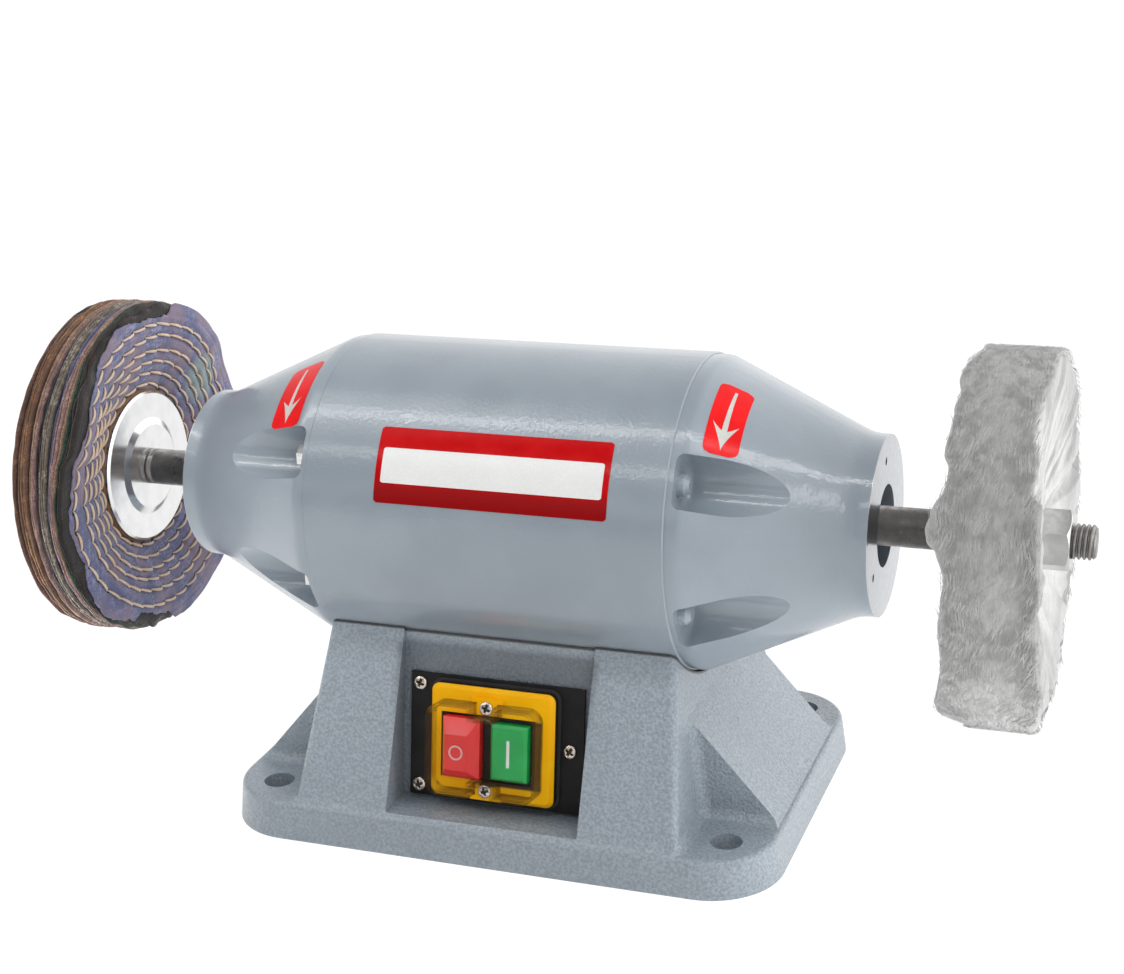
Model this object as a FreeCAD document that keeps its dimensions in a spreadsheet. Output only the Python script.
import FreeCAD, Part
import os
import re
import Sketcher
from FreeCAD import Placement, Rotation, Vector

# A bench polishing lathe with a horn of spindle at each end of its motor.
# Frame: +X along the spindle, +Y to the rear, +Z up, origin on the bench under the middle
# of the foot. Every size below is in millimetres or degrees.

SIZES = {
    # The cast foot and the pedestal that carries the motor
    "foot_length": 241, "foot_depth": 169, "foot_thickness": 16, "foot_draft": 7,
    "corner_land": 6.5, "foot_edge": 2,
    "bench_hole_spacing": 199, "bench_hole_gauge": 128, "bench_hole": 13,
    "pedestal_foot_length": 168, "pedestal_top_length": 151, "pedestal_top_depth": 98,
    "pedestal_top": 88, "pedestal_corner": 3, "casting_wall": 6, "casting_fillet": 5,
    "ramp_side_land": 39.5, "ramp_top": 59, "saddle_gap": 0.3,
    # The motor
    "axle_height": 131, "barrel_radius": 65.5, "barrel_length": 153, "barrel_wall": 6,
    "seam_bevel": 0.5, "bell_length": 72.5, "bell_lip": 5, "bell_step": 0.8, "bell_wall": 5,
    "bell_shoulder": 8, "nose_radius": 36.7, "nose_length": 7, "nose_fillet": 20,
    "nose_bore": 33.4, "nose_wall": 9.8, "spigot_length": 4, "spigot_wall": 4,
    "pocket_radius": 11, "pocket_pitch": 57.7, "pocket_wall": 2.2, "pocket_fillet": 3.5,
    "pocket_angle": 28, "pocket_turn": 2,
    "guard_hole": 3.3, "guard_hole_circle": 54, "guard_hole_depth": 8,
    "tie_bolt_pitch": 56, "tie_bolt": 5, "tie_bolt_head": 9, "tie_bolt_head_height": 3.6,
    "tie_bolt_washer": 1, "tie_bolt_washer_radius": 5, "tie_bolt_crown": 2.5,
    "tie_bolt_nut": 8.1, "tie_bolt_nut_height": 4,
    "core_length": 70, "rotor_radius": 34, "air_gap": 0.4, "slot_count": 24,
    "slot_width": 4.4, "slot_depth": 13, "slot_mouth": 0.5, "yoke_notch": 8,
    "winding_outer": 53, "winding_inner": 37.5, "winding_length": 21, "winding_bevel": 5,
    "end_ring_length": 8, "end_ring_step": 1,
    # The spindle and its bearings
    "spindle_length": 462, "spindle_core": 24, "spindle_body": 20, "bearing_bore": 17,
    "spindle_horn": 16, "thread": 14, "thread_bevel": 1.4, "thread_shoulder": 186,
    "bearing_outside": 40, "bearing_width": 12, "ball": 6.7, "ball_circle": 28.5,
    "ball_count": 8, "bearing_land": 3, "shield": 0.5, "shield_recess": 0.4,
    "shield_gap": 0.3, "wave_gap": 1.2, "wave_washer_width": 2.5, "wave_washer_edge": 0.5,
    # What the spindle carries
    "flange_radius": 34, "flange_rim": 2.7, "flange_boss_radius": 22, "flange_boss": 4.2,
    "flange_bevel": 1, "cloth_bore_gap": 0.3, "cloth_hub_edge": 1,
    "left_wheel_dish": 26, "right_wheel_dish": 16, "left_wheel_bevel": 2, "right_wheel_bevel": 5,
    "hub_length": 18.3, "left_wheel_radius": 75, "left_wheel_rim": 28.8, "left_rim_offset": 4.55,
    "right_wheel_radius": 77, "right_wheel_rim": 44, "right_rim_offset": 3.7,
    "hub_disc_radius": 35, "hub_disc": 1, "nut_flats": 22, "nut_height": 12,
    "nut_washer_radius": 11.6, "nut_washer": 1.3, "nut_land": 0.3,
    # The switch on the front of the pedestal
    "recess_width": 84, "recess_floor": 17, "switch_height": 43.5, "switch_setback": 56.5,
    "switch_tilt": 11, "plate_side_gap": 3.75, "plate_height": 52.5, "plate_thickness": 1.5,
    "plate_screw": 3, "plate_screw_left_land": 4.25, "plate_screw_right_land": 5.75,
    "plate_screw_rise": 21.7, "face_side_gap": 11.05, "face_height": 47.5,
    "face_thickness": 4.6, "face_chamfer": 1.6, "face_corner": 3.5,
    "tab_width": 13.5, "tab_height": 8, "tab_rise": 1.8, "button_centre": 1.5, "button_drop": 1.5,
    "button_side_gap": 4.275, "button_bar": 4.95, "stop_extra": 0.3, "stop_height": 25.2,
    "stop_top": 13.4, "start_height": 23.4, "start_top": 11, "button_travel": 3,
    "button_gap": 0.4, "button_root": 9, "spring_room": 5, "well_margin": 2.2, "well_rim": 1.2,
    "body_side_gap": 4.7, "body_height": 37, "body_depth": 42, "gasket": 0.8, "gasket_rim": 1.3,
    "cover_side_gap": 3.2, "cover_height": 38.5, "cover_top": 17, "cover_wall": 1.2,
    "cover_corner": 6, "cover_screw_rise": 17.4, "cover_notch": 9.6, "cover_screw": 3,
    "cover_screw_reach": 1,
    "cover_clearance": 0.3, "spring_wire": 0.8, "spring_radius": 3.2, "spring_turns": 3,
    "spring_gap": 0.1, "stop_bevel": 3.4, "stop_bevel_left": 2.2, "stop_bevel_right": 4.2,
    "stop_bevel_top": 6.5, "stop_bevel_bottom": 3.7, "start_bevel": 1.2,
    # Inside the pedestal
    "cover_recess": 4, "floor_sheet": 1.5, "floor_ledge": 4, "post_radius": 6,
    "post_spacing": 140, "post_gauge": 130, "post_screw": 4, "post_screw_length": 10,
    "floor_gap": 0.3, "floor_hole_slack": 0.2,
    "motor_screw_spacing": 82, "motor_screw": 8, "motor_screw_flats": 13,
    "motor_screw_head": 5.3, "motor_screw_washer": 1.6, "motor_screw_washer_radius": 9,
    "motor_screw_reach": 1, "motor_boss": 10, "motor_boss_drop": 2,
    "wire_hole_place": 62, "wire_hole": 12, "grommet_wall": 2,
    "capacitor_radius": 17, "capacitor_length": 62, "capacitor_place": 26, "capacitor_along": 58,
    "can_bevel": 1, "can_lid": 3, "can_lid_step": 1.5, "blade_sheet": 0.8, "blade_width": 6.3,
    "blade_length": 8, "blade_place": 6, "clip_width": 12, "clip_sheet": 1, "clip_reach": 11,
    "clip_screw_place": 7, "terminal_length": 36, "terminal_depth": 17, "terminal_height": 15,
    "terminal_pitch": 9.7, "terminal_screw": 4.8, "terminal_screw_depth": 5,
    "terminal_way": 4, "terminal_way_height": 6,
    "terminal_end_gap": 32, "gland_height": 50, "gland_place": 52, "gland_thread": 16,
    "gland_flats": 20, "gland_flange": 4, "gland_cap": 8, "gland_bore": 7,
    "gland_cap_radius": 9.5, "gland_cap_side": 4.8, "gland_cap_nose": 2, "gland_nut": 4,
    "gland_stem_end": 1,
    # Screw heads, as shares of the thread or of the head, and fits
    "pan_head_radius": 0.95, "pan_head_height": 0.6, "pan_head_crown": 0.55,
    "pan_head_side": 0.45, "fit": 0.05,
}

doc = FreeCAD.newDocument("polishing_lathe")
sheet = doc.addObject("Spreadsheet::Sheet", "Sizes")
for row, (name, number) in enumerate(SIZES.items(), start=1):
    sheet.set(f"A{row}", name)
    sheet.set(f"B{row}", str(number))
    sheet.setAlias(f"B{row}", name)
doc.recompute()

# ---------------------------------------------------------------- small modelling words


def value(text):
    """The number that an expression of sizes comes to now."""
    return float(sheet.evalExpression(str(text)))


def bound(text):
    """The same expression with each size read from the sheet."""
    return re.sub(r"\b[a-z]\w+\b", lambda m: f"Sizes.{m[0]}" if m[0] in SIZES else m[0], str(text))


def bind(target, **expressions):
    """Tie properties of an object to expressions of sizes."""
    for name, text in expressions.items():
        target.setExpression(name, bound(text))


def place(target, x="0", y="0", z="0", about=None, angle="0"):
    """Stand an object at a bound place, turned about an axis by a bound angle."""
    if about:
        target.Placement = Placement(Vector(), Rotation(Vector(*about), 30))
        target.setExpression(".Placement.Rotation.Angle", bound(angle))
    for axis, text in (("x", x), ("y", y), ("z", z)):
        target.setExpression(f".Placement.Base.{axis}", bound(text))
    return target


def new_body(label):
    body = doc.addObject("PartDesign::Body", label)
    body.Label = label
    return body


def sketch_on(body, plane, lift="0", turn=None, shift=None):
    """A sketch on one of the body's own planes, lifted along its normal."""
    sketch = body.newObject("Sketcher::SketchObject", f"{body.Name}_sketch")
    support = [f for f in body.Origin.OriginFeatures if f.Role == plane][0]
    sketch.AttachmentSupport = [(support, "")]
    sketch.MapMode = "FlatFace"
    if turn:
        sketch.AttachmentOffset = Placement(Vector(), Rotation(Vector(1, 0, 0), 30))
        sketch.setExpression(".AttachmentOffset.Rotation.Angle", bound(turn))
    for axis, text in zip("xy", shift or ()):
        sketch.setExpression(f".AttachmentOffset.Base.{axis}", bound(text))
    sketch.setExpression(".AttachmentOffset.Base.z", bound(lift))
    return sketch


def pin(sketch, curve, point, x, y):
    """Hold one point of a sketch at (x, y), measured from the sketch's origin."""
    for kind, text, axis in (("DistanceX", x, -2), ("DistanceY", y, -1)):
        size = value(text)
        if abs(size) < 1e-9:
            sketch.addConstraint(Sketcher.Constraint("PointOnObject", curve, point, axis))
            continue
        ends = (-1, 1, curve, point) if size > 0 else (curve, point, -1, 1)
        index = sketch.addConstraint(Sketcher.Constraint(kind, *ends, abs(size)))
        sketch.setExpression(f"Constraints[{index}]", bound(text if size > 0 else f"-({text})"))


def outline(sketch, corners):
    """A closed run of straight edges with every corner pinned."""
    spots = [Vector(value(x), value(y), 0) for x, y in corners]
    first = sketch.GeometryCount
    total = len(corners)
    for k in range(total):
        sketch.addGeometry(Part.LineSegment(spots[k], spots[(k + 1) % total]), False)
    for k in range(total):
        after = first + (k + 1) % total
        sketch.addConstraint(Sketcher.Constraint("Coincident", first + k, 2, after, 1))
    for k, (x, y) in enumerate(corners):
        pin(sketch, first + k, 1, x, y)


def rectangle(sketch, width, height, x="0", y="0"):
    sides = [(-1, -1), (1, -1), (1, 1), (-1, 1)]
    outline(sketch, [(f"({x}) + {i} * ({width}) / 2", f"({y}) + {j} * ({height}) / 2")
                     for i, j in sides])


def hexagon(sketch, flats):
    corner = f"({flats}) / 2 / cos(30)"
    outline(sketch, [(f"{corner} * cos({60 * k + 30})", f"{corner} * sin({60 * k + 30})")
                     for k in range(6)])


def circle(sketch, radius, x="0", y="0"):
    centre = Vector(value(x), value(y), 0)
    ring = sketch.addGeometry(Part.Circle(centre, Vector(0, 0, 1), value(radius)), False)
    if abs(centre.x) < 1e-9 and abs(centre.y) < 1e-9:
        sketch.addConstraint(Sketcher.Constraint("Coincident", ring, 3, -1, 1))
    else:
        pin(sketch, ring, 3, x, y)
    index = sketch.addConstraint(Sketcher.Constraint("Radius", ring, value(radius)))
    sketch.setExpression(f"Constraints[{index}]", bound(radius))


def pad(body, sketch, length, both=False, back=False):
    feature = body.newObject("PartDesign::Pad", f"{body.Name}_pad")
    feature.Profile = sketch
    feature.SideType = "Symmetric" if both else "One side"
    feature.Reversed = back
    bind(feature, Length=length)
    doc.recompute()
    return feature


def pocket(body, sketch, depth, both=False, ahead=False):
    """Cut a sketch's outline away, and make sure that it met the solid."""
    before = body.Shape.Volume
    feature = body.newObject("PartDesign::Pocket", f"{body.Name}_pocket")
    feature.Profile = sketch
    feature.SideType = "Symmetric" if both else "One side"
    feature.Reversed = ahead
    bind(feature, Length=depth)
    doc.recompute()
    if body.Shape.Volume > before - 1e-3:
        raise ValueError(f"{feature.Name} cuts nothing")
    return feature


def revolve(body, profile, axis="H_Axis"):
    """Turn a closed profile on the XZ plane about the sketch's own axis."""
    sketch = sketch_on(body, "XZ_Plane")
    outline(sketch, profile)
    feature = body.newObject("PartDesign::Revolution", f"{body.Name}_turning")
    feature.Profile = sketch
    feature.ReferenceAxis = (sketch, [axis])
    feature.Angle = 360
    doc.recompute()
    return feature


def round_edges(body, radius, wanted, kind="Fillet"):
    """Round or bevel the edges of the body so far that answer to a test."""
    base = body.Tip
    names = [f"Edge{n}" for n, edge in enumerate(base.Shape.Edges, start=1) if wanted(edge)]
    if not names:
        raise ValueError(f"{body.Name} has no such edge")
    feature = body.newObject(f"PartDesign::{kind}", f"{body.Name}_{kind.lower()}")
    feature.Base = (base, names)
    bind(feature, **{"Radius" if kind == "Fillet" else "Size": radius})
    doc.recompute()
    return feature


def draft_sides(body, angle):
    """Lean the upright faces of the body so far in towards the top."""
    base = body.Tip
    sides = [f"Face{n}" for n, face in enumerate(base.Shape.Faces, start=1)
             if near(face.normalAt(0, 0).z, 0)]
    floor = [f for f in body.Origin.OriginFeatures if f.Role == "XY_Plane"][0]
    feature = body.newObject("PartDesign::Draft", f"{body.Name}_draft")
    feature.Base = (base, sides)
    feature.NeutralPlane = (floor, [""])
    bind(feature, Angle=angle)
    doc.recompute()
    return feature


def group(label, pieces):
    """Identical pieces that share one node, each still a solid of its own."""
    compound = doc.addObject("Part::Compound", label)
    compound.Label = label
    compound.Links = pieces
    return compound


def cut_away(label, solid, tool):
    result = doc.addObject("Part::Cut", label)
    result.Label = label
    result.Base = solid
    result.Tool = tool
    return result


def mirrored(label, source):
    """The same piece at the other end of the machine."""
    twin = doc.addObject("Part::Mirroring", label)
    twin.Label = label
    twin.Source = source
    twin.Normal = Vector(1, 0, 0)
    return twin


def on_axle(body):
    return place(body, z="axle_height")


def turned(label, profile):
    """A piece turned about the spindle axis, its profile as (along, radius)."""
    body = on_axle(new_body(label))
    revolve(body, profile)
    return body


def ring(label, near, far, inner, outer):
    return turned(label, [(near, inner), (far, inner), (far, outer), (near, outer)])


def screw(label, length, thread):
    """A pan head screw that points down, its head seated on z = 0."""
    body = new_body(label)
    shank = f"({thread}) / 2 - fit"
    head = f"({thread}) * pan_head_radius"
    height = f"({thread}) * pan_head_height"
    revolve(body, [("0", height), (f"{head} * pan_head_crown", height),
                   (head, f"{height} * pan_head_side"), (head, "0"), (shank, "0"),
                   (shank, f"-({length})"), ("0", f"-({length})")], "V_Axis")
    return body


def near(number, target, slack=0.01):
    return abs(number - target) < slack


# ---------------------------------------------------------------- places worked out once

SEAM = "(barrel_length / 2)"
NOSE = "(barrel_length / 2 + bell_length)"
SEAT = "(barrel_length / 2 + bell_length - nose_wall)"
LEFT_SHOULDER = f"({SEAT} - bearing_width)"
RIGHT_SHOULDER = f"({SEAT} - bearing_width - wave_gap)"
SPIGOT_RADIUS = "(barrel_radius - barrel_wall - fit)"
SADDLE_RADIUS = "(barrel_radius + saddle_gap)"
LIP_RADIUS = "(barrel_radius - bell_step)"
FOOT_CORNER = "((foot_length - pedestal_foot_length) / 2 - corner_land)"
RAMP_WIDTH = "(foot_depth - 2 * ramp_side_land)"
FOOT_TOP_HALF = "(foot_length / 2 - foot_thickness * tan(foot_draft) - foot_edge)"
FOOT_TOP_DEPTH = "(foot_depth - 2 * foot_thickness * tan(foot_draft) - 2 * foot_edge)"
SLOPE = (f"(atan(({FOOT_TOP_DEPTH} - pedestal_top_depth) / 2 / (pedestal_top - foot_thickness))"
         " / 1 deg)")
FLOOR_LENGTH = "(pedestal_foot_length - 2 * casting_wall + 2 * floor_ledge)"
FLOOR_DEPTH = f"({FOOT_TOP_DEPTH} - 2 * casting_wall + 2 * floor_ledge)"
FACE_BACK = "(plate_thickness + gasket)"
FACE_FRONT = f"({FACE_BACK} + face_thickness)"
PLATE_WIDTH = "(recess_width - 2 * plate_side_gap)"
FACE_WIDTH = f"({PLATE_WIDTH} - 2 * face_side_gap)"
BODY_WIDTH = f"({FACE_WIDTH} - 2 * body_side_gap)"
COVER_WIDTH = f"({FACE_WIDTH} - 2 * cover_side_gap)"
BUTTON_WIDTH = f"(({COVER_WIDTH} - button_bar) / 2 - cover_wall - button_side_gap)"
BUTTON_WIDTHS = {"stop": f"({BUTTON_WIDTH} + stop_extra / 2)",
                 "start": f"({BUTTON_WIDTH} - stop_extra / 2)"}
BUTTON_PLACES = {"stop": f"(-button_centre - ({BUTTON_WIDTH} + button_bar) / 2)",
                 "start": f"(-button_centre + ({BUTTON_WIDTH} + button_bar) / 2)"}
HUB_OUT = "(thread_shoulder + flange_boss + hub_length)"
RAMP_MEETS = ("(pedestal_foot_length / 2 - (pedestal_foot_length - pedestal_top_length) / 2"
              " * (ramp_top - foot_thickness) / (pedestal_top - foot_thickness))")
GLAND_Y = f"(pedestal_top_depth / 2 + (pedestal_top - gland_height) * tan({SLOPE}))"
MOTOR_BOSS_FACE = f"(axle_height - {SADDLE_RADIUS} - casting_wall - motor_boss_drop)"
PLATE_SCREW_LEFT = f"(plate_screw_left_land - {PLATE_WIDTH} / 2)"
PLATE_SCREWS = [(PLATE_SCREW_LEFT, "plate_screw_rise"), (PLATE_SCREW_LEFT, "-plate_screw_rise"),
                (f"({PLATE_WIDTH} / 2 - plate_screw_right_land)", "0")]
TERMINAL_PLACE = "(terminal_end_gap - pedestal_foot_length / 2)"
CAPACITOR_ALONG = f"({TERMINAL_PLACE} + capacitor_along)"
TAB_NECK = "(cover_notch - 2 * button_gap)"
WELL_WIDTH = f"(2 * {BUTTON_WIDTH} + button_bar + 2 * well_margin)"
WELL_HEIGHT = "(stop_height + 2 * well_rim)"
WELL_FLOOR = "(button_root + button_travel + spring_room)"
NOTCH_FLOOR = "(stop_height / 2 + cover_clearance + cover_wall)"
QUADRANTS = [(1, 1), (-1, 1), (-1, -1), (1, -1)]


def recess_y(height):
    """Where the tilted rear wall of the switch recess stands at a height."""
    return f"(-switch_setback + (({height}) - switch_height) * tan(switch_tilt))"


# ---------------------------------------------------------------- the cast base


def inner_corner_edge(edge):
    """Where a side ramp meets the pedestal, and where both stand on the foot."""
    ends = [v.Point for v in edge.Vertexes]
    if len(ends) < 2:
        return False
    first, last = ends
    block = value("pedestal_foot_length / 2")
    on_foot = all(near(p.z, value("foot_thickness"), 0.05) for p in ends)
    by_ramp = near(first.y, last.y) and near(abs(last.y), value(f"{RAMP_WIDTH} / 2"), 0.05)
    by_block = near(first.x, last.x) and near(abs(last.x), block, 0.05)
    rises = (abs(first.z - last.z) > value("casting_wall")
             and max(abs(first.x), abs(last.x)) < block + 0.1)
    return by_ramp and (on_foot or rises) or by_block and on_foot


def pedestal_edge(edge):
    """The four sloping corners of the pedestal block."""
    low, high = sorted(edge.Vertexes, key=lambda v: v.Z)[::len(edge.Vertexes) - 1]
    tall = high.Z - low.Z
    return near(tall, value("pedestal_top - foot_thickness")) and edge.Vertexes[0].X != 0


def casting_outside():
    """The foot, the tapered pedestal, its side ramps, the saddle and the switch recess."""
    body = new_body("casting_outside")
    foot = sketch_on(body, "XY_Plane")
    rectangle(foot, "foot_length", "foot_depth")
    pad(body, foot, "foot_thickness")
    round_edges(body, FOOT_CORNER, lambda e: e.BoundBox.ZLength > 1)
    draft_sides(body, "foot_draft")
    foot_top = value("foot_thickness")
    round_edges(body, "foot_edge", lambda e: e.BoundBox.ZMin > foot_top - 0.01)
    block = sketch_on(body, "YZ_Plane")
    outline(block, [(f"-{FOOT_TOP_DEPTH} / 2", "foot_thickness"),
                    (f"{FOOT_TOP_DEPTH} / 2", "foot_thickness"),
                    ("pedestal_top_depth / 2", "pedestal_top"),
                    ("-pedestal_top_depth / 2", "pedestal_top")])
    pad(body, block, "pedestal_foot_length", both=True)
    for side in ("", "-"):
        wedge = sketch_on(body, "XZ_Plane")
        outline(wedge, [(f"{side}pedestal_foot_length / 2", "foot_thickness"),
                        (f"{side}pedestal_top_length / 2", "pedestal_top"),
                        (f"{side}pedestal_foot_length / 2", "pedestal_top")])
        pocket(body, wedge, "foot_depth", both=True)
    ramps = sketch_on(body, "XZ_Plane")
    outline(ramps, [(f"-{FOOT_TOP_HALF}", "foot_thickness"), (FOOT_TOP_HALF, "foot_thickness"),
                    (RAMP_MEETS, "ramp_top"), (f"-{RAMP_MEETS}", "ramp_top")])
    pad(body, ramps, RAMP_WIDTH, both=True)
    round_edges(body, "pedestal_corner", pedestal_edge)
    round_edges(body, "casting_fillet", inner_corner_edge)
    saddle_and_recess(body)
    casting_holes(body)
    return body


def saddle_and_recess(body):
    saddle = sketch_on(body, "YZ_Plane")
    circle(saddle, SADDLE_RADIUS, "0", "axle_height")
    pocket(body, saddle, "foot_length", both=True)
    recess = sketch_on(body, "YZ_Plane")
    outline(recess, [(recess_y("recess_floor"), "recess_floor"),
                     (recess_y("pedestal_top + casting_wall"), "pedestal_top + casting_wall"),
                     ("-foot_depth", "pedestal_top + casting_wall"),
                     ("-foot_depth", "recess_floor")])
    pocket(body, recess, "recess_width", both=True)
    for side in ("", "-"):
        hollow = sketch_on(body, "XZ_Plane")
        outline(hollow, ramp_hollow(side))
        pocket(body, hollow, f"{RAMP_WIDTH} - 2 * casting_wall", both=True)


def ramp_hollow(side):
    """The triangular hollow under a side ramp, open to the bench."""
    inner = "(pedestal_foot_length / 2 + casting_wall / 2)"
    drop = f"((ramp_top - foot_thickness) / ({FOOT_TOP_HALF} - {RAMP_MEETS}))"
    rim = f"({FOOT_TOP_HALF} - casting_wall)"
    roof = f"(foot_thickness + ({FOOT_TOP_HALF} - {inner}) * {drop} - casting_wall * 1.5)"
    rim_roof = f"(foot_thickness + casting_wall * {drop} - casting_wall * 1.5)"
    return [(f"{side}{inner}", "0"), (f"{side}{inner}", roof), (f"{side}{rim}", rim_roof),
            (f"{side}{rim}", "0")]


def casting_holes(body):
    """Bench holes, switch window, cable hole, wire hole and every tapped hole."""
    under = sketch_on(body, "XY_Plane")
    for i, j in QUADRANTS:
        circle(under, "bench_hole / 2", f"{i} * bench_hole_spacing / 2",
               f"{j} * bench_hole_gauge / 2")
    pocket(body, under, "foot_thickness + 1", ahead=True)
    ledge = sketch_on(body, "XY_Plane")
    rectangle(ledge, FLOOR_LENGTH, FLOOR_DEPTH)
    pocket(body, ledge, "cover_recess", ahead=True)
    posts = sketch_on(body, "XY_Plane")
    for i, j in QUADRANTS:
        circle(posts, "post_screw / 2", f"{i} * post_spacing / 2", f"{j} * post_gauge / 2")
    pocket(body, posts, "foot_thickness", ahead=True)
    saddle = sketch_on(body, "XY_Plane")
    for side in (-1, 1):
        circle(saddle, "motor_screw / 2 + fit", f"{side} * motor_screw_spacing / 2")
    circle(saddle, "wire_hole / 2", "wire_hole_place")
    pocket(body, saddle, "axle_height", ahead=True)
    window = sketch_on(body, "XY_Plane", lift="switch_height", turn="90 - switch_tilt",
                       shift=("0", "-switch_setback"))
    rectangle(window, f"{BODY_WIDTH} + 2 * button_gap", "body_height + 2 * button_gap",
              "-button_centre", "-button_drop")
    for x, y in PLATE_SCREWS:
        circle(window, "plate_screw / 2", x, y)
    pocket(body, window, "4 * casting_wall", both=True)
    rear = sketch_on(body, "XY_Plane", lift="gland_height", turn=f"{SLOPE} - 90",
                     shift=("gland_place", GLAND_Y))
    circle(rear, "gland_thread / 2 + fit")
    pocket(body, rear, "4 * casting_wall", both=True)


def casting_core():
    """The hollow of the pedestal, as the sand core that makes it."""
    body = new_body("casting_core")
    half = f"({FOOT_TOP_DEPTH} / 2 - casting_wall)"
    side = sketch_on(body, "YZ_Plane")
    outline(side, [(f"-{half}", "0"), (half, "0"), (half, "foot_thickness"),
                   ("pedestal_top_depth / 2 - casting_wall", "pedestal_top"),
                   ("casting_wall - pedestal_top_depth / 2", "pedestal_top"),
                   (f"-{half}", "foot_thickness")])
    pad(body, side, "pedestal_foot_length - 2 * casting_wall", both=True)
    for end in ("", "-"):
        wedge = sketch_on(body, "XZ_Plane")
        low = f"{end}(pedestal_foot_length / 2 - casting_wall)"
        high = f"{end}(pedestal_top_length / 2 - casting_wall)"
        outline(wedge, [(low, "foot_thickness"), (high, "pedestal_top"), (low, "pedestal_top")])
        pocket(body, wedge, "foot_depth", both=True)
    web = sketch_on(body, "YZ_Plane")
    circle(web, f"{SADDLE_RADIUS} + casting_wall", "0", "axle_height")
    pocket(body, web, "foot_length", both=True)
    wall = "casting_wall / cos(switch_tilt)"
    niche = sketch_on(body, "YZ_Plane")
    outline(niche, [(f"{recess_y('0')} + {wall}", "0"),
                    (f"{recess_y('pedestal_top')} + {wall}", "pedestal_top"),
                    ("-foot_depth", "pedestal_top"), ("-foot_depth", "0")])
    pocket(body, niche, "recess_width + 2 * casting_wall", both=True)
    posts = sketch_on(body, "XY_Plane")
    for i, j in QUADRANTS:
        circle(posts, "post_radius", f"{i} * post_spacing / 2", f"{j} * post_gauge / 2")
    pocket(body, posts, "pedestal_top", ahead=True)
    bosses = sketch_on(body, "XY_Plane", lift=MOTOR_BOSS_FACE)
    for end in (-1, 1):
        circle(bosses, "motor_boss", f"{end} * motor_screw_spacing / 2")
    pocket(body, bosses, "motor_boss * 2", ahead=True)
    return body


def base_casting():
    return cut_away("base_casting", casting_outside(), casting_core())


# ---------------------------------------------------------------- the motor


def motor_barrel():
    """The tube between the seams, tapped below for the screws that hold it in its saddle."""
    body = ring("motor_barrel", f"-{SEAM}", SEAM, "barrel_radius - barrel_wall", "barrel_radius")
    below = sketch_on(body, "XY_Plane")
    for end in (-1, 1):
        circle(below, "motor_screw / 2 + fit", f"{end} * motor_screw_spacing / 2")
    circle(below, "wire_hole / 2", "wire_hole_place")
    pocket(body, below, "barrel_radius * 2")
    rim = value("barrel_radius")
    round_edges(body, "seam_bevel", lambda e: near(e.BoundBox.XLength, 0)
                and near(e.BoundBox.ZLength, 2 * rim), kind="Chamfer")
    return body


def bolt_angle(i, j):
    """The angle of a tie bolt above the front or the rear, all four turned together."""
    return f"({j} * pocket_angle - {i} * pocket_turn)"


def bolt_place(i, j, pitch):
    """A tie bolt's (y, z) from the axle, at a radius."""
    return (f"{i} * {pitch} * cos({bolt_angle(i, j)})", f"{pitch} * sin({bolt_angle(i, j)})")


def pocket_core(n, i, j):
    """The channel over one tie bolt: round-bottomed, open outwards, its end wall rounded."""
    body = place(new_body(f"pocket_core_{n}"), about=(1, 0, 0), angle=f"{i} * {bolt_angle(i, j)}")
    start = f"{SEAM} + pocket_wall"
    bottom = sketch_on(body, "YZ_Plane", lift=start)
    circle(bottom, "pocket_radius", f"{i} * pocket_pitch")
    pad(body, bottom, "bell_length")
    mouth = sketch_on(body, "YZ_Plane", lift=start)
    rectangle(mouth, "2 * pocket_radius", "2 * pocket_radius", f"{i} * (pocket_pitch + pocket_radius)")
    pad(body, mouth, "bell_length")
    wall = value(start)
    rim = value("pocket_pitch + 2 * pocket_radius")
    round_edges(body, "pocket_fillet", lambda e: near(e.BoundBox.XMax, wall)
                and not near(abs(e.BoundBox.Center.y), rim))
    return body


def bell_outside():
    body = turned("bell_outside", [
        (f"{SEAM} - spigot_length", "0"), (f"{SEAM} - spigot_length", SPIGOT_RADIUS),
        (SEAM, SPIGOT_RADIUS), (SEAM, LIP_RADIUS), (f"{SEAM} + bell_lip", LIP_RADIUS),
        (f"{NOSE} - nose_length", "nose_radius"), (NOSE, "nose_radius"), (NOSE, "0")])
    shoulder = value(f"{SEAM} + bell_lip")
    round_edges(body, "bell_shoulder", lambda e: near(e.BoundBox.Center.x, shoulder)
                and near(e.BoundBox.XLength, 0))
    neck = value(f"{NOSE} - nose_length")
    round_edges(body, "nose_fillet", lambda e: near(e.BoundBox.Center.x, neck)
                and near(e.BoundBox.XLength, 0))
    bolts = sketch_on(body, "YZ_Plane", lift=f"{SEAM} - bell_length")
    for i, j in QUADRANTS:
        circle(bolts, "tie_bolt / 2 + fit", *bolt_place(i, j, "tie_bolt_pitch"))
    pocket(body, bolts, "bell_length * 2", ahead=True)
    guard = sketch_on(body, "YZ_Plane", lift=NOSE)
    for k in range(3):
        circle(guard, "guard_hole / 2", f"guard_hole_circle / 2 * cos({90 + 120 * k})",
               f"guard_hole_circle / 2 * sin({90 + 120 * k})")
    pocket(body, guard, "guard_hole_depth")
    return body


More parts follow.
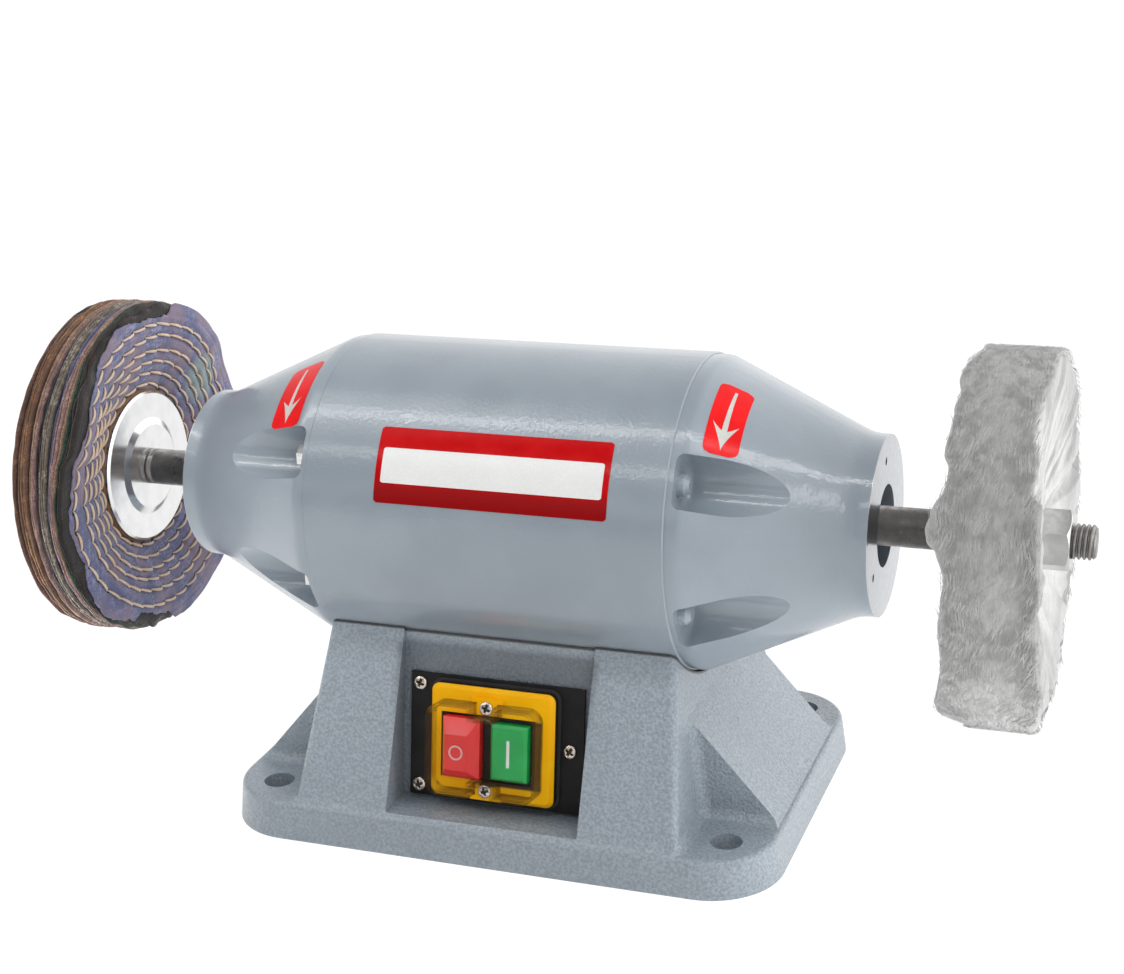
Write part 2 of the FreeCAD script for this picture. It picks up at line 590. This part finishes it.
def bell_core():
    """The inside of a bell: open cone, bearing seat and the bore round the spindle."""
    face = f"({SEAT} - bearing_width - bearing_land)"
    cone = (f"(({LIP_RADIUS} - nose_radius) / (bell_length - bell_lip - nose_length)"
            f" * ({NOSE} - nose_length - {face}) + nose_radius - bell_wall)")
    inner = f"({SPIGOT_RADIUS} - spigot_wall)"
    body = turned("bell_core", [
        (f"{SEAM} - spigot_length - 1", "0"), (f"{SEAM} - spigot_length - 1", inner),
        (f"{SEAM} + bell_lip", inner), (face, cone), (face, "bearing_outside / 2 + fit"),
        (SEAT, "bearing_outside / 2 + fit"), (SEAT, "nose_bore / 2"), (f"{NOSE} + 1", "nose_bore / 2"),
        (f"{NOSE} + 1", "0")])
    walls = sketch_on(body, "YZ_Plane", lift=f"{SEAM} - spigot_length - 1")
    for i, j in QUADRANTS:
        circle(walls, "pocket_radius + bell_wall", *bolt_place(i, j, "pocket_pitch"))
    pocket(body, walls, "bell_length", ahead=True)
    return body


def end_bells():
    pockets = group("pocket_cores", [pocket_core(n, i, j) for n, (i, j) in enumerate(QUADRANTS, 1)])
    blank = cut_away("bell_with_pockets", bell_outside(), on_axle(pockets))
    right = cut_away("right_end_bell", blank, bell_core())
    return right, mirrored("left_end_bell", right)


def tie_bolts():
    """Long bolts from bell to bell, heads in the right pockets and nuts in the left."""
    grip = f"{SEAM} + pocket_wall + tie_bolt_washer"
    bolts = []
    nuts = []
    washers = []
    for n, (i, j) in enumerate(QUADRANTS, start=1):
        across, up = bolt_place(i, j, "tie_bolt_pitch")
        spot = {"y": across, "z": f"axle_height + {up}"}
        bolt = new_body(f"tie_bolt_{n}")
        revolve(bolt, [(f"-({grip}) - tie_bolt", "0"), (f"-({grip}) - tie_bolt", "tie_bolt / 2"),
                       (grip, "tie_bolt / 2"), (grip, "tie_bolt_head / 2"),
                       (f"{grip} + tie_bolt_head_height / 2", "tie_bolt_head / 2"),
                       (f"{grip} + tie_bolt_head_height", "tie_bolt_crown"),
                       (f"{grip} + tie_bolt_head_height", "0")])
        bolts.append(place(bolt, **spot))
        nut = new_body(f"tie_bolt_nut_{n}")
        flats = sketch_on(nut, "YZ_Plane", lift=f"-({grip})")
        hexagon(flats, "tie_bolt_nut")
        circle(flats, "tie_bolt / 2 + fit")
        pad(nut, flats, "tie_bolt_nut_height", back=True)
        nuts.append(place(nut, **spot))
        for end in ("", "-"):
            washer = new_body(f"tie_bolt_washer_{n}")
            revolve(washer, [(f"{end}({SEAM} + pocket_wall)", "tie_bolt / 2 + fit"),
                             (f"{end}({SEAM} + pocket_wall)", "tie_bolt_washer_radius"),
                             (f"{end}({grip})", "tie_bolt_washer_radius"),
                             (f"{end}({grip})", "tie_bolt / 2 + fit")])
            washers.append(place(washer, **spot))
    return (group("tie_bolts", bolts), group("tie_bolt_nuts", nuts),
            group("tie_bolt_washers", washers))


def stator_core():
    """The pressed stack, slotted inside for the windings and notched for the tie bolts."""
    inner = "(rotor_radius + air_gap)"
    body = ring("stator_core", "-core_length / 2", "core_length / 2", inner,
                "barrel_radius - barrel_wall - fit")
    notches = sketch_on(body, "YZ_Plane")
    for i, j in QUADRANTS:
        circle(notches, "yoke_notch / 2", *bolt_place(i, j, "tie_bolt_pitch"))
    pocket(body, notches, "core_length", both=True)
    slot = sketch_on(body, "YZ_Plane")
    rectangle(slot, "slot_width", "slot_depth", "0", f"{inner} + slot_depth / 2 - slot_mouth")
    cut = pocket(body, slot, "core_length", both=True)
    pattern = body.newObject("PartDesign::PolarPattern", "stator_slots")
    pattern.Originals = [cut]
    pattern.Axis = ([f for f in body.Origin.OriginFeatures if f.Role == "X_Axis"][0], [""])
    pattern.Angle = 360
    bind(pattern, Occurrences="slot_count")
    body.Tip = pattern
    doc.recompute()
    return body


def stator_windings():
    """The two bundles of end turns, one beyond each face of the stack."""
    right = ring("right_stator_winding", "core_length / 2", "core_length / 2 + winding_length",
                 "winding_inner", "winding_outer")
    face = value("core_length / 2 + winding_length")
    round_edges(right, "winding_bevel", lambda e: near(e.BoundBox.XMin, face),
                kind="Chamfer")
    left = mirrored("left_stator_winding", right)
    return right, left


# ---------------------------------------------------------------- spindle and bearings


def spindle():
    """One bar from thread end to thread end, shouldered for rotor, bearings and flanges."""
    end = "(spindle_length / 2)"
    bevel = "thread_bevel"
    half = [("rotor", "spindle_core / 2", "core_length / 2"),
            ("body", "spindle_body / 2", None), ("bearing", "bearing_bore / 2", SEAT),
            ("horn", "spindle_horn / 2", "thread_shoulder"), ("thread", "thread / 2", end)]
    steps = {1: f"{RIGHT_SHOULDER}", -1: f"{LEFT_SHOULDER}"}
    profile = []
    for side in (1, -1):
        run = []
        for name, radius, stop in half:
            stop = steps[side] if name == "body" else stop
            if name == "thread":
                stop = f"({end} - {bevel})"
            if name == "rotor":
                stop = "(core_length / 2 + end_ring_length)"
            if run:
                run.append((run[-1][0], radius))
            run.append((f"{side} * {stop}", radius))
        run.append((f"{side} * {end}", f"thread / 2 - {bevel}"))
        run.append((f"{side} * {end}", "0"))
        profile += run if side == 1 else run[::-1]
    return turned("spindle", profile)


def rotor():
    core = ring("rotor_core", "-core_length / 2", "core_length / 2", "spindle_core / 2",
                "rotor_radius")
    right = ring("right_rotor_ring", "core_length / 2", "core_length / 2 + end_ring_length",
                 "spindle_core / 2", "rotor_radius - end_ring_step")
    return core, right, mirrored("left_rotor_ring", right)


def bearing(side, near_face):
    """A shielded deep-groove ball bearing: two grooved rings and the balls between."""
    middle = f"({near_face} + bearing_width / 2)"
    far_face = f"({near_face} + bearing_width)"
    pitch = "(ball_circle / 2)"
    rings = {}
    for name, surface, land in (("outer", "bearing_outside / 2", f"({pitch} + bearing_land)"),
                                ("inner", "bearing_bore / 2", f"({pitch} - bearing_land)")):
        body = ring(f"{side}_bearing_{name}_ring", near_face, far_face, surface, land)
        groove = body.newObject("PartDesign::Groove", f"{body.Name}_groove")
        track = sketch_on(body, "XZ_Plane")
        circle(track, "ball / 2 + fit", middle, pitch)
        groove.Profile = track
        groove.ReferenceAxis = (track, ["H_Axis"])
        groove.Angle = 360
        doc.recompute()
        rings[name] = body
    balls = []
    for k in range(int(value("ball_count"))):
        ball = doc.addObject("Part::Sphere", f"{side}_ball_{k + 1}")
        bind(ball, Radius="ball / 2")
        turn = f"(360 / ball_count * {k})"
        balls.append(place(ball, x=middle, y=f"{pitch} * cos({turn})",
                           z=f"axle_height + {pitch} * sin({turn})"))
    return rings["outer"], rings["inner"], group(f"{side}_bearing_balls", balls)


def bearing_shields():
    """Thin steel shields, one in each face of both bearings, held by the outer rings."""
    shields = []
    for side, near_face in (("left", f"(-{SEAT})"), ("right", RIGHT_SHOULDER)):
        for face, at in (("inner", f"({near_face} + shield_recess)"),
                         ("outer", f"({near_face} + bearing_width - shield_recess - shield)")):
            shields.append(ring(f"{side}_{face}_shield", at, f"{at} + shield",
                                "ball_circle / 2 - bearing_land + shield_gap",
                                "ball_circle / 2 + bearing_land"))
    return group("bearing_shields", shields)


def wave_washer():
    return ring("wave_washer", f"{SEAT} - wave_gap + fit", f"{SEAT} - fit",
                "bearing_outside / 2 - wave_washer_edge - wave_washer_width",
                "bearing_outside / 2 - wave_washer_edge")


# ---------------------------------------------------------------- what the spindle carries


def flange(label, back, facing):
    """A turned clamping disc with a raised boss, its flat face against the wheel."""
    step = "(flange_boss - flange_rim)"
    bore = "(thread / 2 + fit)"
    profile = [("0", bore), ("0", f"flange_boss_radius - 2 * {step}"),
               (step, "flange_boss_radius"), (step, "flange_radius - flange_bevel"),
               (f"{step} + flange_bevel", "flange_radius"), ("flange_boss", "flange_radius"),
               ("flange_boss", bore)]
    return turned(label, [(f"({back}) + ({facing}) * ({along})", radius)
                          for along, radius in profile])


def wheel(label, side, rim_near, rim_far, clear):
    """A cloth wheel clamped thin at its hub and free at its rim, as (along, radius)."""
    bore = "(thread / 2 + cloth_bore_gap)"
    near_hub = f"({side} * (thread_shoulder + flange_boss + {clear}))"
    far_hub = f"({side} * ({HUB_OUT} - {clear}))"
    edge = "(hub_disc_radius + cloth_hub_edge)"
    shoulder = f"({edge} + {label}_dish)"
    radius, bevel = f"{label}_radius", f"{label}_bevel"
    rim = f"({radius} - {bevel})"
    return turned(label, [
        (near_hub, bore), (near_hub, edge), (rim_near, shoulder), (rim_near, rim),
        (f"({rim_near}) + {side} * {bevel}", radius),
        (f"({rim_far}) - {side} * {bevel}", radius),
        (rim_far, rim), (rim_far, shoulder), (far_hub, edge), (far_hub, bore)])


def hexagon_nut(label, start, facing):
    body = on_axle(new_body(label))
    flats = sketch_on(body, "YZ_Plane", lift=start)
    hexagon(flats, "nut_flats")
    circle(flats, "thread / 2 + fit")
    pad(body, flats, "nut_height", back=facing < 0)
    near_end = f"({start})"
    far_end = f"({start} + {facing} * nut_height)"
    for face, inward in ((near_end, facing), (far_end, -facing)):
        bevel = sketch_on(body, "XZ_Plane")
        outline(bevel, [(face, "nut_flats / 2 - nut_land"), (face, "nut_flats"),
                        (f"{face} + {inward} * (nut_flats / 2 + nut_land) * tan(30)", "nut_flats")])
        groove = body.newObject("PartDesign::Groove", f"{body.Name}_bevel")
        groove.Profile = bevel
        groove.ReferenceAxis = (bevel, ["H_Axis"])
        groove.Angle = 360
        doc.recompute()
    return body


def carried_parts():
    """Flanges, hub discs, cloth wheels, washers and nuts, out along both horns."""
    shoulder = "thread_shoulder"
    flange("left_inner_flange", f"-{shoulder}", -1)
    flange("right_inner_flange", shoulder, 1)
    flange("left_outer_flange", f"-({HUB_OUT} + flange_boss)", 1)
    discs = [ring(f"left_hub_disc_{n}", f"-({at})", f"-({at} + hub_disc)", "thread / 2 + cloth_bore_gap",
                  "hub_disc_radius")
             for n, at in enumerate((f"{shoulder} + flange_boss", f"{HUB_OUT} - hub_disc"), 1)]
    group("left_hub_discs", discs)
    left_hub = f"({shoulder} + flange_boss + hub_length / 2)"
    wheel("left_wheel", -1, f"-({left_hub} - left_wheel_rim / 2 - left_rim_offset)",
          f"-({left_hub} + left_wheel_rim / 2 - left_rim_offset)", "hub_disc")
    middle = f"({left_hub} - right_rim_offset / 2)"
    wheel("right_wheel", 1, f"({middle} - right_wheel_rim / 2)",
          f"({middle} + right_wheel_rim / 2)", "0")
    ring("right_washer", HUB_OUT, f"{HUB_OUT} + nut_washer", "thread / 2 + fit",
         "nut_washer_radius")
    hexagon_nut("right_nut", f"{HUB_OUT} + nut_washer", 1)
    hexagon_nut("left_nut", f"-({HUB_OUT} + flange_boss)", -1)


# ---------------------------------------------------------------- the switch


def at_switch(thing, x="0", y="0", z="0"):
    """Stand a piece on the recess wall: its own +Z looks out and up, its +Y up the wall."""
    return place(thing, x=x,
                 y=f"-switch_setback + ({y}) * sin(switch_tilt) - ({z}) * cos(switch_tilt)",
                 z=f"switch_height + ({y}) * cos(switch_tilt) + ({z}) * sin(switch_tilt)",
                 about=(1, 0, 0), angle="90 - switch_tilt")


def plate_block(label, width, height, low, high, x="0", y="0"):
    body = new_body(label)
    sketch = sketch_on(body, "XY_Plane", lift=low)
    rectangle(sketch, width, height, x, y)
    pad(body, sketch, f"({high}) - ({low})")
    return at_switch(body)


def opening(body, width, height, low, high, x="0", y="0"):
    sketch = sketch_on(body, "XY_Plane", lift=low)
    rectangle(sketch, width, height, x, y)
    return pocket(body, sketch, f"({high}) - ({low})", ahead=True)


def switch_plate():
    body = plate_block("switch_plate", PLATE_WIDTH, "plate_height", "0", "plate_thickness")
    opening(body, f"{BODY_WIDTH} + 2 * button_gap", "body_height + 2 * button_gap", "-1",
            "plate_thickness + 1", "-button_centre", "-button_drop")
    holes = sketch_on(body, "XY_Plane")
    for x, y in PLATE_SCREWS:
        circle(holes, "plate_screw / 2 + fit", x, y)
    pocket(body, holes, "plate_thickness", ahead=True)
    return body


def switch_screws():
    """Three screws hold the plate to the casting, two hold the cover to the face."""
    plate = [at_switch(screw(f"plate_screw_{n}", "plate_thickness + casting_wall",
                             "plate_screw"), x, y, "plate_thickness")
             for n, (x, y) in enumerate(PLATE_SCREWS, start=1)]
    cover = [at_switch(screw(f"cover_screw_{n}", "face_thickness + cover_screw_reach",
                             "cover_screw"),
                       "-button_centre", f"-button_drop + {side} * cover_screw_rise",
                       f"{FACE_FRONT} + tab_rise")
             for n, side in enumerate((1, -1), start=1)]
    return group("switch_plate_screws", plate), group("switch_cover_screws", cover)


def switch_gasket():
    body = plate_block("switch_gasket", f"{FACE_WIDTH} + 2 * gasket_rim",
                       "face_height + 2 * gasket_rim", "plate_thickness", FACE_BACK)
    thin = value("gasket") / 2
    round_edges(body, "face_corner + gasket_rim", lambda e: e.BoundBox.ZLength > thin)
    opening(body, f"{BODY_WIDTH} + 2 * button_gap", "body_height + 2 * button_gap", "0",
            f"{FACE_BACK} + 1", "-button_centre", "-button_drop")
    return body


def switch_face():
    """The moulded front: bevelled plate, a tab above and below, a window for the buttons."""
    body = plate_block("switch_face", FACE_WIDTH, "face_height", FACE_BACK, FACE_FRONT)
    front = value(FACE_FRONT)
    round_edges(body, "face_corner", lambda e: e.BoundBox.ZLength > front / 2)
    round_edges(body, "face_chamfer",
                lambda e: near(e.BoundBox.ZMin, front) and near(e.BoundBox.ZMax, front),
                kind="Chamfer")
    rim = "(cover_screw_rise + tab_height / 2)"
    edge = "(cover_height / 2 + button_gap)"
    for side in (1, -1):
        for width, root in (("tab_width", edge), (TAB_NECK, f"({NOTCH_FLOOR} + button_gap)")):
            tab = sketch_on(body, "XY_Plane", lift=FACE_BACK)
            rectangle(tab, width, f"{rim} - {root}", "-button_centre",
                      f"-button_drop + {side} * ({rim} + {root}) / 2")
            pad(body, tab, "face_thickness + tab_rise")
    opening(body, WELL_WIDTH, WELL_HEIGHT, "0", f"{FACE_FRONT} + 5", "-button_centre",
            "-button_drop")
    holes = sketch_on(body, "XY_Plane", lift=f"{FACE_FRONT} + tab_rise")
    for side in (1, -1):
        circle(holes, "cover_screw / 2", "-button_centre",
               f"-button_drop + {side} * cover_screw_rise")
    pocket(body, holes, "face_thickness + tab_rise")
    return body


def switch_body():
    """The black contactor housing behind the plate, with a well for each button."""
    body = plate_block("switch_body", BODY_WIDTH, "body_height", "-body_depth", FACE_BACK,
                       "-button_centre", "-button_drop")
    collar = sketch_on(body, "XY_Plane", lift=FACE_BACK)
    rectangle(collar, f"{WELL_WIDTH} - 2 * button_gap", f"{WELL_HEIGHT} - 2 * button_gap",
              "-button_centre", "-button_drop")
    pad(body, collar, "face_thickness")
    for name, x in BUTTON_PLACES.items():
        opening(body, f"{BUTTON_WIDTHS[name]} + 2 * button_gap", f"{name}_height + 2 * button_gap",
                f"-{WELL_FLOOR}", f"{FACE_FRONT} + 1", x, "-button_drop")
    return body


def start_button():
    """A push button with a narrow bevel, its skirt down in the well over its return spring."""
    body = plate_block("start_button", BUTTON_WIDTHS["start"], "start_height", "-button_root",
                       "start_top", BUTTON_PLACES["start"], "-button_drop")
    top = value("start_top")
    round_edges(body, "start_bevel",
                lambda e: near(e.BoundBox.ZMin, top) and near(e.BoundBox.ZMax, top),
                kind="Chamfer")
    return body


def stop_button():
    """The taller push button, with a wide facet on each side of its small front."""
    width, x = BUTTON_WIDTHS["stop"], BUTTON_PLACES["stop"]
    shoulder = "(stop_top - stop_bevel)"
    body = plate_block("stop_button", width, "stop_height", "-button_root", shoulder, x,
                       "-button_drop")
    low = sketch_on(body, "XY_Plane", lift=shoulder)
    rectangle(low, width, "stop_height", x, "-button_drop")
    high = sketch_on(body, "XY_Plane", lift="stop_top")
    rectangle(high, f"{width} - stop_bevel_left - stop_bevel_right",
              "stop_height - stop_bevel_top - stop_bevel_bottom",
              f"{x} + (stop_bevel_left - stop_bevel_right) / 2",
              "-button_drop + (stop_bevel_bottom - stop_bevel_top) / 2")
    crown = body.newObject("PartDesign::AdditiveLoft", "stop_button_crown")
    crown.Profile = low
    crown.Sections = [high]
    crown.Ruled = True
    doc.recompute()
    return body


def return_spring(name):
    """A round-wire compression spring between a button's foot and its well's floor."""
    body = new_body(f"{name}_button_spring")
    wire = sketch_on(body, "XZ_Plane")
    circle(wire, "spring_wire / 2", "spring_radius")
    height = "(button_travel + spring_room - spring_wire - 2 * spring_gap)"
    coil = body.newObject("PartDesign::AdditiveHelix", f"{body.Name}_coil")
    coil.Profile = wire
    coil.ReferenceAxis = (wire, ["V_Axis"])
    coil.Mode = "pitch-height-angle"
    bind(coil, Height=height, Pitch=f"{height} / spring_turns")
    doc.recompute()
    return at_switch(body, BUTTON_PLACES[name], "-button_drop",
                     f"-{WELL_FLOOR} + spring_wire / 2 + spring_gap")


def hood(label, inset):
    """A notched block with rounded corners: the cover's outside, or inset, its hollow."""
    body = new_body(label)
    width = f"({COVER_WIDTH} / 2 - {inset})"
    height = f"(cover_height / 2 - {inset})"
    notch = f"(cover_notch / 2 + {inset})"
    floor = f"({NOTCH_FLOOR} - {inset})"
    corners = [(width, f"-{height}"), (width, height), (notch, height), (notch, floor),
               (f"-{notch}", floor), (f"-{notch}", height), (f"-{width}", height),
               (f"-{width}", f"-{height}"), (f"-{notch}", f"-{height}"),
               (f"-{notch}", f"-{floor}"), (notch, f"-{floor}"), (notch, f"-{height}")]
    sketch = sketch_on(body, "XY_Plane")
    outline(sketch, corners)
    pad(body, sketch, f"cover_top - {FACE_FRONT} - {inset}")
    side = value(width)
    round_edges(body, f"cover_corner - {inset}",
                lambda e: near(abs(e.CenterOfMass.x), side) and e.BoundBox.ZLength > 1)
    return body


def switch_cover():
    """The clear moulded hood over both buttons, notched for its two screws."""
    outside = hood("cover_outside", "0")
    top = value(f"cover_top - {FACE_FRONT}")
    round_edges(outside, "cover_wall", lambda e: near(e.BoundBox.ZMin, top))
    cover = cut_away("switch_cover", outside, hood("cover_core", "cover_wall"))
    return at_switch(cover, "-button_centre", "-button_drop", FACE_FRONT)


# ---------------------------------------------------------------- inside the pedestal


def bottom_cover():
    """The sheet that closes the pedestal from below and carries the electrical parts."""
    body = new_body("bottom_cover")
    sheet_low = sketch_on(body, "XY_Plane", lift="cover_recess - floor_sheet")
    rectangle(sheet_low, f"{FLOOR_LENGTH} - 2 * floor_gap", f"{FLOOR_DEPTH} - 2 * floor_gap")
    for i, j in QUADRANTS:
        circle(sheet_low, "post_screw / 2 + floor_hole_slack", f"{i} * post_spacing / 2",
               f"{j} * post_gauge / 2")
    pad(body, sheet_low, "floor_sheet")
    pieces = []
    for n, (i, j) in enumerate(QUADRANTS, start=1):
        piece = screw(f"bottom_cover_screw_{n}", "post_screw_length", "post_screw")
        pieces.append(place(piece, x=f"{i} * post_spacing / 2", y=f"{j} * post_gauge / 2",
                            z="cover_recess - floor_sheet", about=(1, 0, 0), angle="180"))
    return body, group("bottom_cover_screws", pieces)


def motor_screws():
    """Hexagon screws and washers that hold the barrel down in the saddle."""
    pieces = []
    washers = []
    for n, end in enumerate((-1, 1), start=1):
        across = f"{end} * motor_screw_spacing / 2"
        piece = new_body(f"motor_screw_{n}")
        head = sketch_on(piece, "XY_Plane", lift=f"{MOTOR_BOSS_FACE} - motor_screw_washer")
        hexagon(head, "motor_screw_flats")
        pad(piece, head, "motor_screw_head", back=True)
        shank = sketch_on(piece, "XY_Plane", lift=f"{MOTOR_BOSS_FACE} - motor_screw_washer")
        circle(shank, "motor_screw / 2")
        top = "(axle_height - barrel_radius + barrel_wall - motor_screw_reach)"
        pad(piece, shank, f"{top} - {MOTOR_BOSS_FACE} + motor_screw_washer")
        pieces.append(place(piece, x=across))
        washer = new_body(f"motor_washer_{n}")
        face = sketch_on(washer, "XY_Plane", lift=MOTOR_BOSS_FACE)
        circle(face, "motor_screw_washer_radius")
        circle(face, "motor_screw / 2 + fit")
        pad(washer, face, "motor_screw_washer", back=True)
        washers.append(place(washer, x=across))
    return group("motor_screws", pieces), group("motor_screw_washers", washers)


def wire_grommet():
    """The rubber bush that lines the wire hole from the pedestal up into the barrel."""
    body = new_body("wire_grommet")
    web = f"(axle_height - {SADDLE_RADIUS} - casting_wall - fit)"
    top = "(axle_height - barrel_radius + barrel_wall)"
    bore = "(wire_hole / 2 - grommet_wall)"
    revolve(body, [(bore, f"{web} - grommet_wall"), ("wire_hole / 2 + grommet_wall",
                    f"{web} - grommet_wall"), ("wire_hole / 2 + grommet_wall", web),
                   ("wire_hole / 2 - fit", web), ("wire_hole / 2 - fit", top), (bore, top)],
            "V_Axis")
    return place(body, x="wire_hole_place")


def run_capacitor():
    """A metal can capacitor lying on the bottom cover, held down by a strap clip."""
    axis_height = "(cover_recess + clip_sheet + capacitor_radius + fit)"
    can = new_body("run_capacitor")
    end = "(capacitor_length / 2)"
    lid = "(capacitor_radius - can_lid_step)"
    revolve(can, [(f"-{end}", "0"), (f"-{end}", "capacitor_radius - can_bevel"),
                  (f"can_bevel - {end}", "capacitor_radius"),
                  (f"{end} - can_lid", "capacitor_radius"), (f"{end} - can_lid", lid),
                  (end, lid), (end, "0")])
    blades = sketch_on(can, "YZ_Plane", lift=end)
    for side in (-1, 1):
        rectangle(blades, "blade_sheet", "blade_width", f"{side} * blade_place")
    pad(can, blades, "blade_length")
    place(can, x=CAPACITOR_ALONG, y="capacitor_place", z=axis_height)
    clip = new_body("capacitor_clip")
    strap = sketch_on(clip, "YZ_Plane")
    circle(strap, "capacitor_radius + fit + clip_sheet")
    pad(clip, strap, "clip_width", both=True)
    feet = sketch_on(clip, "YZ_Plane")
    foot_low = "(-(capacitor_radius + fit + clip_sheet))"
    rectangle(feet, "2 * (capacitor_radius + clip_reach)", "clip_sheet", "0",
              f"{foot_low} + clip_sheet / 2")
    pad(clip, feet, "clip_width", both=True)
    bore = sketch_on(clip, "YZ_Plane")
    circle(bore, "capacitor_radius + fit")
    pocket(clip, bore, "clip_width", both=True)
    holes = sketch_on(clip, "XY_Plane", lift=foot_low)
    for side in (-1, 1):
        circle(holes, "plate_screw / 2 + fit", "0", f"{side} * (capacitor_radius + clip_screw_place)")
    pocket(clip, holes, "clip_sheet", ahead=True)
    place(clip, x=CAPACITOR_ALONG, y="capacitor_place", z=axis_height)
    pieces = []
    for n, side in enumerate((-1, 1), start=1):
        piece = screw(f"clip_screw_{n}", "clip_sheet", "plate_screw")
        pieces.append(place(piece, x=CAPACITOR_ALONG, z="cover_recess + clip_sheet",
                            y=f"capacitor_place + {side} * (capacitor_radius + clip_screw_place)"))
    return can, clip, group("capacitor_clip_screws", pieces)


def terminal_block():
    """A three-way screw terminal block on the bottom cover."""
    body = new_body("terminal_block")
    base = sketch_on(body, "XY_Plane")
    rectangle(base, "terminal_length", "terminal_depth")
    pad(body, base, "terminal_height")
    wells = sketch_on(body, "XY_Plane", lift="terminal_height")
    ways = sketch_on(body, "XZ_Plane")
    for k in (-1, 0, 1):
        for row in (-1, 1):
            circle(wells, "terminal_screw / 2", f"{k} * terminal_pitch",
                   f"{row} * terminal_depth / 4")
        circle(ways, "terminal_way / 2", f"{k} * terminal_pitch", "terminal_way_height")
    pocket(body, wells, "terminal_screw_depth")
    pocket(body, ways, "terminal_depth", both=True)
    return place(body, x=TERMINAL_PLACE, y="capacitor_place", z="cover_recess")


def at_gland(thing):
    """Stand a piece on the rear slope of the pedestal, its own +Z straight out."""
    return place(thing, x="gland_place", y=GLAND_Y, z="gland_height", about=(1, 0, 0),
                 angle=f"{SLOPE} - 90")


def cable_gland():
    """The cable inlet: flanged body through the wall, cap outside, lock nut inside."""
    wall = f"(casting_wall * cos({SLOPE}))"
    body = new_body("cable_gland")
    flange_face = sketch_on(body, "XY_Plane")
    hexagon(flange_face, "gland_flats")
    pad(body, flange_face, "gland_flange")
    stem = sketch_on(body, "XY_Plane", lift=f"-{wall} - gland_nut - gland_stem_end")
    circle(stem, "gland_thread / 2")
    pad(body, stem, f"{wall} + gland_nut + gland_stem_end")
    bore = sketch_on(body, "XY_Plane", lift="gland_flange")
    circle(bore, "gland_bore / 2")
    pocket(body, bore, f"{wall} + gland_nut + gland_flange + gland_stem_end")
    at_gland(body)
    cap = new_body("gland_cap")
    revolve(cap, [("gland_bore / 2", "gland_flange"), ("gland_cap_radius", "gland_flange"),
                  ("gland_cap_radius", "gland_flange + gland_cap_side"),
                  ("gland_bore / 2 + gland_cap_nose", "gland_flange + gland_cap"),
                  ("gland_bore / 2", "gland_flange + gland_cap")], "V_Axis")
    at_gland(cap)
    nut = new_body("gland_lock_nut")
    flats = sketch_on(nut, "XY_Plane", lift=f"-{wall}")
    hexagon(flats, "gland_flats")
    circle(flats, "gland_thread / 2 + fit")
    pad(nut, flats, "gland_nut", back=True)
    return body, cap, at_gland(nut)


def all_parts():
    base_casting()
    motor_barrel()
    end_bells()
    tie_bolts()
    stator_core()
    stator_windings()
    spindle()
    rotor()
    bearing("left", f"(-{SEAT})")
    bearing("right", RIGHT_SHOULDER)
    bearing_shields()
    wave_washer()
    carried_parts()
    switch_plate()
    switch_gasket()
    switch_face()
    switch_body()
    stop_button()
    start_button()
    for name in BUTTON_PLACES:
        return_spring(name)
    switch_cover()
    switch_screws()
    bottom_cover()
    motor_screws()
    wire_grommet()
    run_capacitor()
    terminal_block()
    cable_gland()


def sub_parts():
    """The finished pieces: what no group, cut or mirror above has taken in."""
    taken = set()
    for thing in doc.Objects:
        for inner in thing.OutList:
            if thing.TypeId in ("Part::Compound", "Part::Cut"):
                taken.add(inner.Name)
    kinds = ("PartDesign::Body", "Part::Compound", "Part::Cut", "Part::Mirroring",
             "Part::Feature")
    return [t for t in doc.Objects if t.TypeId in kinds and t.Name not in taken]


all_parts()
doc.recompute()
faulty = [t.Name for t in doc.Objects if {"Invalid", "Error"} & set(t.State)]
if faulty:
    raise ValueError(f"these did not build: {faulty}")
os.makedirs("parts", exist_ok=True)
for piece in sub_parts():
    shape = piece.Shape
    if shape.isNull() or not shape.isValid():
        raise ValueError(f"{piece.Label} has no sound shape")
    shape.exportStep(f"parts/{piece.Label}.step")
    print(f"{piece.Label}: {len(shape.Solids)} solid(s), {shape.Volume:.0f} mm3")
